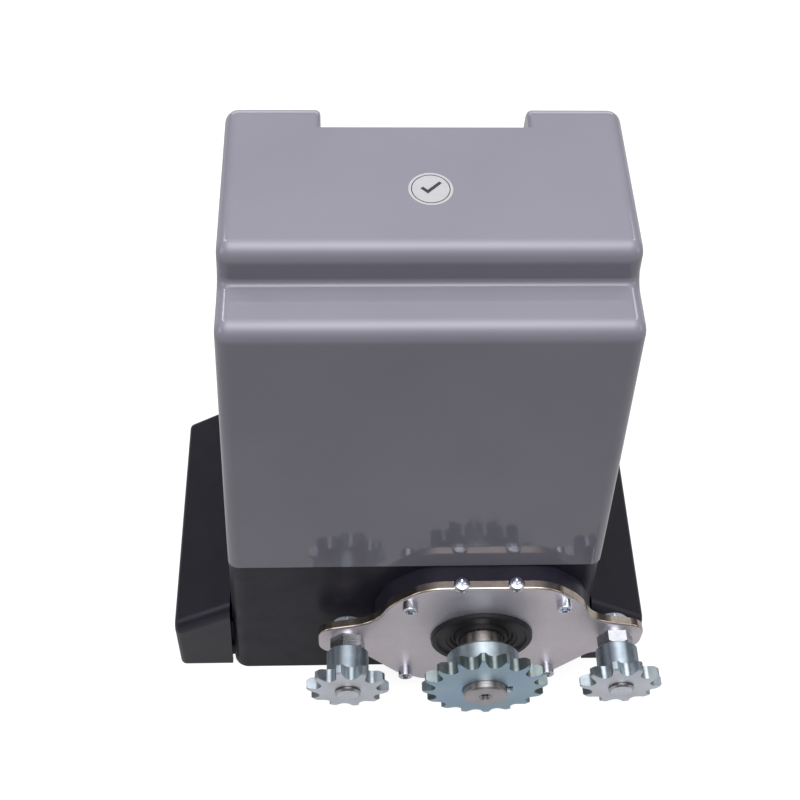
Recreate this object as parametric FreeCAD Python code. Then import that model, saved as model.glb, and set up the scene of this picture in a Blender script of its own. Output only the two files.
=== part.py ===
import FreeCAD, Part
import math
import os

# Chain-drive sliding gate opener: worm gearmotor under a moulded cover, on a cast base.
# Frame: millimetres, origin at the centre of the base's underside, +Z up,
# -Y towards the gate (the sprocket side), +Y towards the user side.

V = FreeCAD.Vector

# ---- driving dimensions -------------------------------------------------------------
SHAFT_X = 40.0             # output shaft, right of the centre plane
SHAFT_Z = 70.0             # output shaft height
FRONT_Y = -76.5            # front face of the base casting
BACK_Y = 77.0              # back face of the base casting
BASE_TOP = 129.0
BASE_HALF_BOTTOM = 109.0
BASE_HALF_TOP = 103.4
BASE_CORNER = 9.0

COVER_BOTTOM = 130.0
COVER_SHELF = 331.0        # height of the step along the gate side
COVER_TOP = 350.5
COVER_FRONT = -77.5        # gate side, at the cover's bottom
COVER_FRONT_SHELF = -74.9  # gate side, at the step
COVER_RISER = -46.6        # where the step rises to the top
COVER_BACK_TOP = 47.1
COVER_BACK_BOTTOM = 77.0
COVER_HALF_BOTTOM = 103.3
COVER_HALF_TOP = 92.5
COVER_WALL = 3.0
SHELF_ROUND = 8.0          # rounding along the step's two front edges
SHELF_HOLLOW = 3.0         # rounding in the step's inner corner
BACK_ROUND = 9.0           # rounding along the top's back edge
SIDE_ROUND = 6.5           # rounding along the sides
RECESS_HALF = 48.35        # recess in the user side that holds the release lever
RECESS_DEPTH_TOP = 16.2
RECESS_DEPTH_BOTTOM = 14.0

FOOT_X = 122.0             # anchor slots
FOOT_Y = 50.0
FOOT_THICK = 12.0
FOOT_EDGE = 136.0
SLOT_LENGTH = 20.0
SLOT_RADIUS = 5.5
FOOT_COVER_EDGE = 142.6
FOOT_COVER_FRONT = -74.5
FOOT_COVER_BACK = 76.0
FOOT_COVER_LOW = 49.0
FOOT_COVER_HIGH = 72.0
FOOT_COVER_ROLL = 7.5      # rounding from the roof to the gate side

BOSS_FACE = -86.3          # cast boss that carries the chain plate
PLATE_FACE = -91.5
PLATE_SCREW = 43.0
IDLER_SPAN = 77.8          # idler axle to output shaft
SHAFT_END = -128.9
SPROCKET_FACE = -124.5
SPROCKET_THICK = 7.5
SET_SCREW_Y = -109.5
CHAIN_PITCH = 12.7
ROLLER_SEAT = 4.05
DRIVE_TEETH = 16
IDLER_TEETH = 10
IDLER_HUB_END = -100.8
NUT_HEIGHT = 5.0           # thin nuts behind the plate's ears

MODULE = 2.0               # worm set
WHEEL_TEETH = 30
WORM_PITCH_RADIUS = 10.0
MESH_Y = -15.0             # plane of the worm wheel, and the motor's axis
LEAD = math.pi * MODULE

CHAMBER = (-24.0, 88.0, -62.0, 52.0)     # oil bath: x and y limits
CHAMBER_FLOOR = 10.0
WIRING = (-97.0, -36.0, -60.0, 48.0)     # open wiring compartment
LID_SEAT = 115.0
LID_TOP = 122.0
GASKET = 1.0

LEVER_X = 30.0             # pivot of the release lever
LEVER_Y = 69.5
LEVER_PAD = 81.0           # back face of the cast pad below the lever
LEVER_LOW = 131.5
LEVER_HIGH = 151.5
LOCK_X = -22.0
LOCK_Z = 141.5
CLUTCH_TRAVEL = 6.0
CRANK_THROW = CLUTCH_TRAVEL / math.sqrt(2)
FORK_Z = 102.0             # shift fork rod
CABLE_X = -70.0            # cable entry through the base
CABLE_Y = 30.0
COVER_SCREW_X = 43.0
COVER_SCREW_Y = 71.0
RUNNING = 0.03             # radial running clearance


# ---- small helpers ------------------------------------------------------------------
def box(x0, x1, y0, y1, z0, z1):
    return Part.makeBox(x1 - x0, y1 - y0, z1 - z0, V(x0, y0, z0))


def cyl_x(y, z, r, x0, x1):
    return Part.makeCylinder(r, x1 - x0, V(x0, y, z), V(1, 0, 0))


def cyl_y(x, z, r, y0, y1):
    return Part.makeCylinder(r, y1 - y0, V(x, y0, z), V(0, 1, 0))


def cyl_z(x, y, r, z0, z1):
    return Part.makeCylinder(r, z1 - z0, V(x, y, z0), V(0, 0, 1))


def ring_y(x, z, r_out, r_in, y0, y1):
    return cyl_y(x, z, r_out, y0, y1).cut(cyl_y(x, z, r_in, y0 - 1, y1 + 1))


def ring_z(x, y, r_out, r_in, z0, z1):
    return cyl_z(x, y, r_out, z0, z1).cut(cyl_z(x, y, r_in, z0 - 1, z1 + 1))


def turned_y(x, z, profile):
    """Solid of revolution about a Y line; profile holds (radius, y) pairs."""
    points = [V(r, y, 0) for r, y in profile]
    face = Part.Face(Part.makePolygon(points + points[:1]))
    solid = face.revolve(V(0, 0, 0), V(0, 1, 0), 360)
    solid.translate(V(x, 0, z))
    return solid


def turned_z(x, y, profile):
    """Solid of revolution about a Z line; profile holds (radius, z) pairs."""
    points = [V(r, 0, z) for r, z in profile]
    face = Part.Face(Part.makePolygon(points + points[:1]))
    solid = face.revolve(V(0, 0, 0), V(0, 0, 1), 360)
    solid.translate(V(x, y, 0))
    return solid


def hexagon(across_flats, turn=0.0):
    corner = across_flats / math.sqrt(3)
    angles = [math.radians(60 * i + turn) for i in range(6)]
    return [(corner * math.cos(a), corner * math.sin(a)) for a in angles]


def prism_y(points, y0, y1):
    """Extrude an outline of (x, z) pairs from y0 to y1."""
    corners = [V(x, y0, z) for x, z in points]
    face = Part.Face(Part.makePolygon(corners + corners[:1]))
    return face.extrude(V(0, y1 - y0, 0))


def prism_x(points, x0, x1):
    """Extrude an outline of (y, z) pairs from x0 to x1."""
    corners = [V(x0, y, z) for y, z in points]
    face = Part.Face(Part.makePolygon(corners + corners[:1]))
    return face.extrude(V(x1 - x0, 0, 0))


def prism_z(points, z0, z1):
    """Extrude an outline of (x, y) pairs from z0 to z1."""
    corners = [V(x, y, z0) for x, y in points]
    face = Part.Face(Part.makePolygon(corners + corners[:1]))
    return face.extrude(V(0, 0, z1 - z0))


def rounded_outline(vertices, place):
    """Closed wire through (u, w, radius) vertices, each corner an arc; place maps (u, w) to 3D."""
    count = len(vertices)
    starts = []
    ends = []
    middles = []
    for i in range(count):
        u, w, radius = vertices[i]
        before = vertices[i - 1]
        after = vertices[(i + 1) % count]
        corner = V(u, w, 0)
        back = (V(before[0], before[1], 0) - corner).normalize()
        ahead = (V(after[0], after[1], 0) - corner).normalize()
        half = back.getAngle(ahead) / 2
        reach = radius / math.tan(half) if radius > 0 else 0
        inward = (back + ahead).normalize()
        centre = corner + inward * (radius / math.sin(half))
        starts.append(corner + back * reach)
        ends.append(corner + ahead * reach)
        middles.append(centre - inward * radius)
    edges = []
    for i in range(count):
        if vertices[i][2] > 0:
            edges.append(Part.Arc(place(starts[i]), place(middles[i]), place(ends[i])).toShape())
        following = starts[(i + 1) % count]
        if (following - ends[i]).Length > 1e-6:
            edges.append(Part.LineSegment(place(ends[i]), place(following)).toShape())
    return Part.Wire(edges)


def slab_y(vertices, y0, y1):
    wire = rounded_outline(vertices, lambda p: V(p.x, y0, p.y))
    return Part.Face(wire).extrude(V(0, y1 - y0, 0))


def slab_x(vertices, x0, x1):
    wire = rounded_outline(vertices, lambda p: V(x0, p.x, p.y))
    return Part.Face(wire).extrude(V(x1 - x0, 0, 0))


def slab_z(vertices, z0, z1):
    wire = rounded_outline(vertices, lambda p: V(p.x, p.y, z0))
    return Part.Face(wire).extrude(V(0, 0, z1 - z0))


def rectangle(x0, x1, y0, y1, radius):
    return [(x0, y0, radius), (x1, y0, radius), (x1, y1, radius), (x0, y1, radius)]


def rectangle_wire(half, y0, y1, radius, z):
    return rounded_outline(rectangle(-half, half, y0, y1, radius), lambda p: V(p.x, p.y, z))


def mirrored(shape):
    return shape.mirror(V(0, 0, 0), V(1, 0, 0))


def edges_where(shape, test):
    return [edge for edge in shape.Edges if test(edge)]


def save(name, shape):
    solids = shape if isinstance(shape, list) else [shape]
    flat = [solid for item in solids for solid in item.Solids]
    whole = flat[0] if len(flat) == 1 else Part.makeCompound(flat)
    whole.exportStep(os.path.join("parts", name + ".step"))
    volume = sum(solid.Volume for solid in flat)
    valid = all(solid.isValid() for solid in flat)
    print(f"{name:24s} solids {len(flat):3d} volume {volume:12.1f} valid {valid}")


# ---- base casting -------------------------------------------------------------------
def boss_outline():
    """Cast boss behind the chain plate, without the plate's ears."""
    right = [(34.5, 58.3, 26), (54, 39.5, 26), (62, 18.8, 5), (62, -30, 8), (48, -49.5, 12), (33, -58.8, 8)]
    left = [(-x, z, r) for x, z, r in reversed(right)]
    return [(SHAFT_X + x, SHAFT_Z + z, r) for x, z, r in right + left]


def foot():
    """Right anchor foot with its two slots, levelling holes and ribs."""
    vertices = [(96, -68, 1), (FOOT_EDGE, -68, 8), (FOOT_EDGE, 68, 8), (96, 68, 1)]
    shape = slab_z(vertices, 0, FOOT_THICK)
    rib = [(103, FOOT_THICK - 1), (132, FOOT_THICK - 1), (104, 46)]
    for y in (-66, -31, -3, 25, 60):
        shape = shape.fuse(prism_y(rib, y, y + 6))
    half = SLOT_LENGTH / 2 - SLOT_RADIUS
    for y in (-FOOT_Y, FOOT_Y):
        slot = box(FOOT_X - half, FOOT_X + half, y - SLOT_RADIUS, y + SLOT_RADIUS, -1, 60)
        for x in (FOOT_X - half, FOOT_X + half):
            slot = slot.fuse(cyl_z(x, y, SLOT_RADIUS, -1, 60))
        shape = shape.cut(slot)
    for y in (-14, 14):
        shape = shape.cut(cyl_z(FOOT_X, y, 5.0, -1, 60))
    return shape


def lever_pad():
    """Cast pad on the user side that encloses the crank below the release lever."""
    outline = [(BACK_Y - 8, 84, 0), (LEVER_PAD, 93, 4), (LEVER_PAD, BASE_TOP, 0), (BACK_Y - 8, BASE_TOP, 0)]
    pad = slab_x(outline, LEVER_X - 21, LEVER_X + 16)
    upright = edges_where(pad, lambda e: e.BoundBox.YMin > LEVER_PAD - 0.1 and e.BoundBox.ZLength > 20)
    return pad.makeFillet(3.0, upright)


def gear_housing():
    bottom = rectangle_wire(BASE_HALF_BOTTOM, FRONT_Y, BACK_Y, BASE_CORNER, 0)
    top = rectangle_wire(BASE_HALF_TOP, FRONT_Y, BACK_Y, BASE_CORNER, BASE_TOP)
    body = Part.makeLoft([bottom, top], True, True)
    body = body.fuse(slab_y(boss_outline(), BOSS_FACE, FRONT_Y + 1))
    rim_half = BASE_HALF_TOP - COVER_WALL - 0.6
    rim_corner = BASE_CORNER - COVER_WALL - 0.6
    rim = rectangle(-rim_half, rim_half, FRONT_Y + 3.2, BACK_Y - 4.2, rim_corner)
    body = body.fuse(slab_z(rim, BASE_TOP - 2, BASE_TOP + 4))
    notch_y = BACK_Y - RECESS_DEPTH_BOTTOM - COVER_WALL - 1.5
    body = body.cut(box(-RECESS_HALF - 4, RECESS_HALF + 4, notch_y, BACK_Y + 1, BASE_TOP, BASE_TOP + 5))
    body = body.fuse(lever_pad())
    body = body.cut(slab_z(rectangle(-97, 97, -70, 58, 6), LID_SEAT, BASE_TOP + 5))
    x0, x1, y0, y1 = CHAMBER
    chamber = slab_z(rectangle(x0, x1, y0, y1, 8), CHAMBER_FLOOR, LID_SEAT + 1)
    rear_boss = cyl_y(SHAFT_X, SHAFT_Z, 31, 40, y1 + 1)
    lever_boss = cyl_z(LEVER_X, LEVER_Y, 18, 92, LID_SEAT + 2)
    front_boss = cyl_y(SHAFT_X, SHAFT_Z, 34, y0 - 1, -60.5)
    worm_seat = cyl_z(0, MESH_Y, 23, CHAMBER_FLOOR - 1, 25)
    for solid in (rear_boss, lever_boss, front_boss, worm_seat):
        chamber = chamber.cut(solid)
    body = body.cut(chamber)
    wx0, wx1, wy0, wy1 = WIRING
    body = body.cut(slab_z(rectangle(wx0, wx1, wy0, wy1, 8), 8, LID_SEAT + 1))
    body = body.fuse([foot(), mirrored(foot())])
    body = body.cut(cyl_y(SHAFT_X, SHAFT_Z, 26, BOSS_FACE - 1, -69))
    body = body.cut(cyl_y(SHAFT_X, SHAFT_Z, 22, -70, -58))
    body = body.cut(cyl_y(SHAFT_X, SHAFT_Z, 23.5, 39, 56))
    body = body.cut(cyl_y(SHAFT_X, SHAFT_Z, 14, 55, 60))
    body = body.cut(cyl_z(0, MESH_Y, 17.5, 14, 26))
    for sx in (-1, 1):
        for sz in (-1, 1):
            hole = cyl_y(SHAFT_X + sx * PLATE_SCREW, SHAFT_Z + sz * PLATE_SCREW, 2.5, BOSS_FACE - 1, -71)
            body = body.cut(hole)
    body = body.cut(cyl_z(CABLE_X, CABLE_Y, 11, -1, 9))
    body = body.cut(cyl_z(CABLE_X, CABLE_Y, 14, -1, 3))
    body = body.cut(cyl_z(LEVER_X, LEVER_Y, 4.0 + RUNNING, 108, BASE_TOP + 5))
    body = body.cut(box(LEVER_X - 14, LEVER_X + 9, 50, LEVER_PAD - 3.2, 96, 111))
    body = body.cut(cyl_y(LEVER_X, FORK_Z, 5.0 + RUNNING, 38, 51))
    body = body.cut(box(LOCK_X - 6, LOCK_X + 10.5, 62.8, 67.2, 125, BASE_TOP + 1))
    for x, y in lid_screw_places():
        body = body.cut(cyl_z(x, y, 2.0, 101, LID_SEAT + 1))
    for x in (-COVER_SCREW_X, COVER_SCREW_X):
        body = body.cut(cyl_z(x, COVER_SCREW_Y, 2.5, 112, BASE_TOP + 1))
    for side in (-1, 1):
        for y in (-40.0, 40.0):
            body = body.cut(hook_pocket(side, y))
    return body.removeSplitter()


def hook_pocket(side, y):
    near = 101.0
    far = 110.0
    low = min(side * near, side * far)
    high = max(side * near, side * far)
    return box(low, high, y - 6, y + 6, 50.5, 57.5)


def lid_screw_places():
    return [(-28.0, -64.0), (-28.0, 52.0), (92.0, -64.0), (92.0, -3.0), (92.0, 52.0)]


def housing_lid():
    plate = slab_z(rectangle(-31, 96, -69, 57, 6), LID_SEAT + GASKET, LID_TOP)
    plate = plate.cut(cyl_z(0, MESH_Y, 13, LID_SEAT, LID_TOP + 1))
    for x, y in lid_screw_places():
        plate = plate.cut(cyl_z(x, y, 2.2, LID_SEAT, LID_TOP + 1))
    for angle in (45, 135, 225, 315):
        x, y = motor_bolt_place(angle)
        plate = plate.cut(cyl_z(x, y, 2.0, LID_SEAT, LID_TOP + 1))
    return plate


def lid_gasket():
    plate = slab_z(rectangle(-31, 96, -69, 57, 6), LID_SEAT, LID_SEAT + GASKET)
    plate = plate.cut(slab_z(rectangle(-23, 87, -61, 51, 6), LID_SEAT - 1, LID_SEAT + 2))
    for x, y in lid_screw_places():
        plate = plate.cut(cyl_z(x, y, 2.2, LID_SEAT - 1, LID_SEAT + 2))
    return plate


def socket_screw_z(x, y, z_seat, size, length):
    """Hexagon socket head cap screw, head up on z_seat."""
    head = cyl_z(x, y, size * 0.85, z_seat, z_seat + size)
    socket = [(x + u, y + w) for u, w in hexagon(size * 0.8)]
    head = head.cut(prism_z(socket, z_seat + size / 2, z_seat + size + 1))
    return head.fuse(cyl_z(x, y, size / 2, z_seat - length, z_seat))


def lid_screws():
    return [socket_screw_z(x, y, LID_TOP, 4.0, 18.0) for x, y in lid_screw_places()]


def levelling_screws():
    screws = []
    for side in (-1, 1):
        for y in (-14, 14):
            body = cyl_z(side * FOOT_X, y, 5.0, 0.3, 26)
            socket = prism_z([(side * FOOT_X + u, y + w) for u, w in hexagon(5)], 21, 27)
            screws.append(body.cut(socket))
    return screws


def cable_grommet():
    outer = cyl_z(CABLE_X, CABLE_Y, 11, 0.5, 8.5).fuse(cyl_z(CABLE_X, CABLE_Y, 13.8, 0.5, 3))
    outer = outer.fuse(cyl_z(CABLE_X, CABLE_Y, 14, 8.0, 11))
    return outer.cut(cyl_z(CABLE_X, CABLE_Y, 8, 0, 12))


# ---- foot covers --------------------------------------------------------------------
def foot_cover():
    """Right cover over the anchor foot: a shell with a sloped roof, open below and inside."""
    inner = BASE_HALF_BOTTOM + 0.9
    outline = [(inner, 1.0), (FOOT_COVER_EDGE, 1.0), (FOOT_COVER_EDGE - 1, FOOT_COVER_LOW)]
    outline.append((inner - 3.1, FOOT_COVER_HIGH))
    shape = prism_y(outline, FOOT_COVER_FRONT, FOOT_COVER_BACK)

    def on_roof_front(edge):
        return edge.CenterOfMass.z > FOOT_COVER_LOW + 2 and edge.BoundBox.YMax < FOOT_COVER_FRONT + 1

    def on_wall_or_roof_back(edge):
        if edge.CenterOfMass.z > FOOT_COVER_LOW + 2 and edge.BoundBox.YMin > FOOT_COVER_BACK - 1:
            return True
        for parameter in (edge.FirstParameter, edge.LastParameter):
            point = edge.valueAt(parameter)
            wall_x = FOOT_COVER_EDGE - (point.z - 1) / (FOOT_COVER_LOW - 1)
            if abs(point.x - wall_x) > 0.02:
                return False
        return edge.CenterOfMass.z > 3
    shape = shape.makeFillet(FOOT_COVER_ROLL, edges_where(shape, on_roof_front))
    shape = shape.makeFillet(4.0, edges_where(shape, on_wall_or_roof_back))
    hollow = [(inner - 6, 0.0), (FOOT_COVER_EDGE - 2.5, 0.0), (FOOT_COVER_EDGE - 3.4, FOOT_COVER_LOW - 2)]
    hollow.append((inner - 6, FOOT_COVER_HIGH - 0.9))
    shape = shape.cut(prism_y(hollow, FOOT_COVER_FRONT + 2.5, FOOT_COVER_BACK - 2.5))
    for y in (-40.0, 40.0):
        tab = box(103, 112, y - 5, y + 5, 54.2, 56.8)
        hook = box(103, 105, y - 5, y + 5, 51.5, 55)
        web = prism_y([(108.5, 55), (116, 55), (116, 65), (108.5, 70)], y - 5, y + 5)
        shape = shape.fuse([tab, hook, web])
    return shape


# ---- chain plate and its fasteners --------------------------------------------------
def plate_outline():
    right = [(34.5, 58.3, 26), (54, 39.5, 34), (62.5, 17.5, 24), (94.8, 8.8, 11.5),
             (94.8, -17.5, 11.5), (66.5, -25, 8), (48, -49.5, 12), (33, -58.8, 8)]
    left = [(-x, z, r) for x, z, r in reversed(right)]
    return [(SHAFT_X + x, SHAFT_Z + z, r) for x, z, r in right + left]


def chain_plate():
    plate = slab_y(plate_outline(), PLATE_FACE, BOSS_FACE)
    front_edges = edges_where(plate, lambda e: e.BoundBox.YMax < PLATE_FACE + 0.01)
    plate = plate.makeFillet(1.3, front_edges)
    plate = plate.cut(cyl_y(SHAFT_X, SHAFT_Z, 29.7, PLATE_FACE - 1, BOSS_FACE + 1))
    for sx in (-1, 1):
        for sz in (-1, 1):
            x = SHAFT_X + sx * PLATE_SCREW
            z = SHAFT_Z + sz * PLATE_SCREW
            plate = plate.cut(cyl_y(x, z, 2.75, PLATE_FACE - 1, BOSS_FACE + 1))
        plate = plate.cut(cyl_y(SHAFT_X + sx * IDLER_SPAN, SHAFT_Z, 5.0, PLATE_FACE - 1, BOSS_FACE + 1))
        middle = (PLATE_FACE + BOSS_FACE) / 2
        plate = plate.cut(cyl_z(SHAFT_X + sx * 15, middle, 1.65, SHAFT_Z + 46, SHAFT_Z + 60))
    return plate


def plate_screws():
    screws = []
    for sx in (-1, 1):
        for sz in (-1, 1):
            x = SHAFT_X + sx * PLATE_SCREW
            z = SHAFT_Z + sz * PLATE_SCREW
            head = cyl_y(x, z, 4.25, PLATE_FACE - 5.5, PLATE_FACE)
            rim = edges_where(head, lambda e: e.BoundBox.YMax < PLATE_FACE - 5.4)
            head = head.makeFillet(0.6, rim)
            socket = prism_y([(x + u, z + w) for u, w in hexagon(4.0, 10)], PLATE_FACE - 6, PLATE_FACE - 2.7)
            lead_in = turned_y(x, z, [(0, PLATE_FACE - 5.6), (3.1, PLATE_FACE - 5.6), (2.2, PLATE_FACE - 4.8),
                                      (0, PLATE_FACE - 4.8)])
            shank = cyl_y(x, z, 2.5, PLATE_FACE, -72)
            screws.append(head.cut(socket).cut(lead_in).fuse(shank))
    return screws


def limit_bracket_screws():
    """Two pan head screws in the plate's top edge, which hold the limit switch bracket."""
    screws = []
    middle = (PLATE_FACE + BOSS_FACE) / 2
    top = SHAFT_Z + 58.3
    for side in (-1, 1):
        x = SHAFT_X + side * 15
        head = turned_z(x, middle, [
            (0, top), (4.5, top), (4.5, top + 1.1), (3.6, top + 2.5), (2.0, top + 3.1), (0, top + 3.3)])
        cross = box(x - 2.2, x + 2.2, middle - 0.45, middle + 0.45, top + 1.6, top + 4)
        cross = cross.fuse(box(x - 0.45, x + 0.45, middle - 2.2, middle + 2.2, top + 1.6, top + 4))
        screws.append(head.cut(cross).fuse(cyl_z(x, middle, 1.65, top - 10, top)))
    return screws


def seal_retainer():
    ring = turned_y(SHAFT_X, SHAFT_Z, [
        (21, BOSS_FACE), (21, -93.0), (25.4, -93.0), (26.2, -94.4), (28.6, -94.4), (29.5, -93.5),
        (29.5, BOSS_FACE), (25.9, BOSS_FACE), (25.9, -84.2), (21, -84.2)])
    return ring


def oil_seal():
    return turned_y(SHAFT_X, SHAFT_Z, [
        (12.55, -88.5), (12.55, -93.2), (13.5, -94.0), (14.9, -93.6), (16.3, -91.4), (17.6, -91.4),
        (18.5, -92.6), (21, -92.6), (21, -85.6),
        (18, -85.6), (18, -87.4), (14, -87.4)])


def bearing(place, bore, outer, low, high, balls):
    """Deep groove ball bearing: two rings and a set of balls. place is a function that makes a ring."""
    middle = (low + high) / 2
    race = (bore + outer) / 2
    ball = (outer - bore) * 0.29
    groove = Part.makeTorus(race, ball + 0.05, V(0, 0, middle), V(0, 0, 1))
    land = (outer - bore) * 0.23
    inner_ring = ring_z(0, 0, race - land * 0.6, bore, low, high).cut(groove)
    outer_ring = ring_z(0, 0, outer, race + land * 0.6, low, high).cut(groove)
    solids = [inner_ring, outer_ring]
    for i in range(balls):
        angle = 2 * math.pi * i / balls
        solids.append(Part.makeSphere(ball, V(race * math.cos(angle), race * math.sin(angle), middle)))
    return [place(solid) for solid in solids]


def onto_shaft_line(solid):
    solid.rotate(V(0, 0, 0), V(1, 0, 0), -90)
    solid.translate(V(SHAFT_X, 0, SHAFT_Z))
    return solid


def onto_motor_line(solid):
    solid.translate(V(0, MESH_Y, 0))
    return solid


# ---- output line --------------------------------------------------------------------
def output_shaft():
    shaft = turned_y(SHAFT_X, SHAFT_Z, [
        (0, SHAFT_END), (11.7, SHAFT_END), (12.5, SHAFT_END + 0.8), (12.5, -69), (16, -69), (16, -65),
        (12, -65), (12, 38), (16.5, 38), (16.5, 41.9), (10, 41.9), (10, 57.2), (9.2, 58), (0, 58)])
    shaft = shaft.cut(cyl_y(SHAFT_X, SHAFT_Z, 2.5, SHAFT_END - 1, SHAFT_END + 16))
    sink = turned_y(SHAFT_X, SHAFT_Z, [(0, SHAFT_END - 0.1), (4.1, SHAFT_END - 0.1), (0, SHAFT_END + 4)])
    shaft = shaft.cut(sink)
    shaft = shaft.cut(sprocket_key())
    shaft = shaft.cut(clutch_key())
    return shaft


def sprocket_key():
    """Parallel key on the gate end, facing +X."""
    return box(SHAFT_X + 8.5, SHAFT_X + 15.6, SPROCKET_FACE + 2.5, -105, SHAFT_Z - 4, SHAFT_Z + 4)


def clutch_key():
    return box(SHAFT_X - 4, SHAFT_X + 4, -4, 13, SHAFT_Z + 8.5, SHAFT_Z + 15)


def sprocket_teeth(teeth, face_y, thickness, phase, flank_degrees):
    """Roller chain tooth ring about the Y axis, one gap centre phase degrees from straight down."""
    pitch_radius = CHAIN_PITCH / (2 * math.sin(math.pi / teeth))
    tip_radius = CHAIN_PITCH * (0.6 + 1 / math.tan(math.pi / teeth)) / 2
    relief = [(2.5, 0.4), (1.0, 0.9), (0.0, 1.6)]
    half_side = [(0, 0), (tip_radius - 5.5, 0)] + [(tip_radius - r, y) for r, y in relief]
    front = [(r, face_y + y) for r, y in half_side]
    back = [(r, face_y + thickness - y) for r, y in reversed(half_side)]
    blank = turned_y(0, 0, front + back)
    flank = math.radians(flank_degrees)
    seat_u = ROLLER_SEAT * math.cos(flank)
    seat_w = pitch_radius - ROLLER_SEAT * math.sin(flank)
    top_w = tip_radius + 1
    top_u = seat_u + (top_w - seat_w) * math.tan(flank)
    low = V(0, face_y - 1, -(pitch_radius - ROLLER_SEAT))
    left = V(-seat_u, face_y - 1, -seat_w)
    right = V(seat_u, face_y - 1, -seat_w)
    left_out = V(-top_u, face_y - 1, -top_w)
    right_out = V(top_u, face_y - 1, -top_w)
    edges = [Part.LineSegment(left_out, left).toShape(), Part.Arc(left, low, right).toShape(),
             Part.LineSegment(right, right_out).toShape(), Part.LineSegment(right_out, left_out).toShape()]
    cutter = Part.Face(Part.Wire(edges)).extrude(V(0, thickness + 2, 0))
    cutters = []
    for i in range(teeth):
        turned = cutter.copy()
        turned.rotate(V(0, 0, 0), V(0, 1, 0), -(phase + 360.0 * i / teeth))
        cutters.append(turned)
    return blank.cut(cutters)


def drive_sprocket():
    gap_phase = 5.6 + 180.0 / DRIVE_TEETH
    shape = sprocket_teeth(DRIVE_TEETH, SPROCKET_FACE, SPROCKET_THICK, gap_phase, 29)
    hub_end = -103.5
    hub = turned_y(0, 0, [
        (0, SPROCKET_FACE + 1), (20.75, SPROCKET_FACE + 1), (20.75, hub_end - 1.2), (19.55, hub_end),
        (0, hub_end)])
    shape = shape.fuse(hub)
    shape.translate(V(SHAFT_X, 0, SHAFT_Z))
    bore = turned_y(SHAFT_X, SHAFT_Z, [
        (0, SPROCKET_FACE - 1), (14.1, SPROCKET_FACE - 1), (12.52, SPROCKET_FACE + 0.8),
        (12.52, hub_end + 1), (0, hub_end + 1)])
    shape = shape.cut(bore)
    keyway = box(SHAFT_X + 8, SHAFT_X + 15.7, SPROCKET_FACE - 1, hub_end + 1, SHAFT_Z - 4, SHAFT_Z + 4)
    return shape.cut(keyway).cut(cyl_z(SHAFT_X, SET_SCREW_Y, 3.0, SHAFT_Z - 24, SHAFT_Z - 10))


def sprocket_set_screw():
    screw = cyl_z(SHAFT_X, SET_SCREW_Y, 3.0, SHAFT_Z - 20, SHAFT_Z - 12.6)
    socket = [(SHAFT_X + u, SET_SCREW_Y + w) for u, w in hexagon(3)]
    return screw.cut(prism_z(socket, SHAFT_Z - 21, SHAFT_Z - 17))


def spacer_sleeve():
    return ring_y(SHAFT_X, SHAFT_Z, 16, 12.02, -64.9, -31.1)


def wheel_tooth_face(y, turn):
    """One tooth of the worm wheel in the plane y, turned by turn degrees."""
    root = 27.0
    pitch = MODULE * WHEEL_TEETH / 2
    tip = pitch + MODULE * 0.95
    outline = [(root, -2.1), (pitch, -1.3), (tip, -0.72), (tip, 0.72), (pitch, 1.3), (root, 2.1)]
    points = []
    for radius, half in outline:
        angle = math.radians(turn) + half / radius
        points.append(V(radius * math.cos(angle), y, radius * math.sin(angle)))
    return Part.makePolygon(points + points[:1])


def worm_wheel():
    face = 6.0
    twist = math.degrees(face * LEAD / (2 * math.pi * WORM_PITCH_RADIUS) / (MODULE * WHEEL_TEETH / 2))
    rim = turned_y(0, 0, [
        (14.52, -16), (20, -16), (20, -5), (24.5, -3.5), (27.5, -face), (27.5, face), (24.5, 4), (22, 4),
        (22, 8), (14.52, 8)])
    solid_teeth = []
    for i in range(WHEEL_TEETH):
        turn = 360.0 * i / WHEEL_TEETH + 180.0
        low = wheel_tooth_face(-face, turn + twist)
        middle = wheel_tooth_face(0, turn)
        high = wheel_tooth_face(face, turn - twist)
        solid_teeth.append(Part.makeLoft([low, middle, high], True, True))
    shape = rim.fuse(solid_teeth)
    for i in range(4):
        slot = dog_tooth(0.25)
        slot.rotate(V(0, 0, 0), V(0, 1, 0), 90.0 * i + 45.0)
        shape = shape.cut(slot)
    shape.translate(V(SHAFT_X, MESH_Y, SHAFT_Z))
    return shape


def dog_tooth(clearance):
    """One clutch dog about the Y axis, in the wheel's own frame."""
    half = 4.0 + clearance
    block = box(15.5, 24, 2.8 - clearance * 2, 8.7, -half, half)
    limit = ring_y(0, 0, 21.5 + clearance, 16.0 - clearance, 0, 9)
    return block.common(limit)


def wheel_bush():
    return ring_y(SHAFT_X, SHAFT_Z, 14.5, 12 + RUNNING, -30.9, -7.2)


def clutch_dog():
    """Sliding half of the dog clutch, with the groove for the shift fork."""
    start = 8.6
    shape = turned_y(0, 0, [
        (12.05, start), (22, start), (22, start + 9), (18.4, start + 9), (18.4, start + 16), (22, start + 16),
        (22, start + 24), (16.6, start + 24), (16.6, start + 14), (12.05, start + 14)])
    for i in range(4):
        tooth = dog_tooth(0.0)
        tooth = tooth.fuse(box(16.2, 21.0, 8, start + 1, -3.9, 3.9))
        tooth.rotate(V(0, 0, 0), V(0, 1, 0), 90.0 * i + 45.0)
        shape = shape.fuse(tooth)
    shape = shape.cut(box(-4.05, 4.05, start - 8, start + 25, 8, 15.1))
    shape.translate(V(SHAFT_X, MESH_Y, SHAFT_Z))
    return shape


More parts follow.
